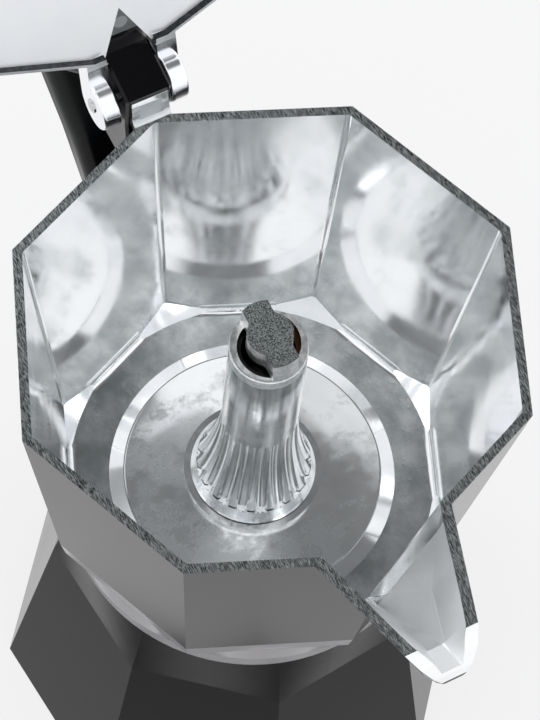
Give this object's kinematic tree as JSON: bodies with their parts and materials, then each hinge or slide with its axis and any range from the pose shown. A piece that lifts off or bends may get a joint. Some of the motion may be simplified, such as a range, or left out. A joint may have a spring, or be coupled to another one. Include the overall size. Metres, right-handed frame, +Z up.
{
  "type": "moka pot",
  "caption": "Stovetop espresso maker with a faceted boiler and chamber, pouring spout, hinged lid, riser column, black side handle and safety valve.",
  "frame": {"origin": "on the surface the pot stands on, under the column's axis", "axes": "+Z up, +X out through the spout, -X through the hinge and handle"},
  "size_m": [0.1627, 0.0904, 0.2256],
  "materials": {
    "boiler_paint": "cast aluminium under semi-gloss black paint",
    "chamber": "polished inside, dark semi-gloss paint outside, machined rim",
    "column": "cast, bead-blasted, brushed tube",
    "cap": "rough cast top",
    "lid": "polished inside",
    "spun_aluminium": "spun sheet",
    "brass": "turned",
    "steel": "drawn",
    "gasket_rubber": "matte",
    "silicone": "matte",
    "fibre": "pressed fibre",
    "black_plastic": "moulded, slightly glossy"
  },
  "bodies": {
    "boiler": {"boiler": "boiler_paint", "valve_body": "brass", "valve_washer": "fibre", "valve_nut": "brass"},
    "valve_pin": {"valve_plunger": "steel", "valve_seal": "silicone", "valve_spring": "steel"},
    "funnel": {"funnel": "spun_aluminium", "funnel_screen": "spun_aluminium"},
    "seals": {"gasket": "gasket_rubber", "filter_plate": "spun_aluminium"},
    "upper": {"upper_chamber": "chamber", "column": "column", "column_cap": "cap", "handle": "black_plastic", "hinge_pin": "steel"},
    "lid": {"lid": "lid", "lid_knob": "black_plastic", "knob_insert": "brass", "knob_washer": "steel", "knob_screw": "steel"}
  },
  "joints": [
    {"name": "valve_release", "type": "slide", "parent": "boiler", "child": "valve_pin", "axis": [-0.0929, 0.9826, 0.1609], "range_m": [0, 0.002], "stiffness_N_per_m": 800, "springref_m": -0.002, "deforming": ["valve_spring"]},
    {"name": "upper_lift_off", "type": "slide", "parent": "boiler", "child": "seals", "axis": [0, 0, 1], "range_m": [0, 0.14]},
    {"name": "funnel_lift", "type": "slide", "parent": "boiler", "child": "funnel", "axis": [0, 0, 1], "range_m": [0, 0.07]},
    {"name": "upper_unscrew", "type": "hinge", "parent": "seals", "child": "upper", "pos_m": [0, 0, 0.0705], "axis": [0, 0, 1], "range_deg": [0, 720]},
    {"name": "lid_hinge", "type": "hinge", "parent": "upper", "child": "lid", "pos_m": [-0.0504, 0, 0.1335], "axis": [0, 1, 0], "range_deg": [0, 104.7]}
  ],
  "couplings": [
    {"joint": "funnel_lift", "follows": "upper_lift_off", "ratio": 0.5}
  ]
}
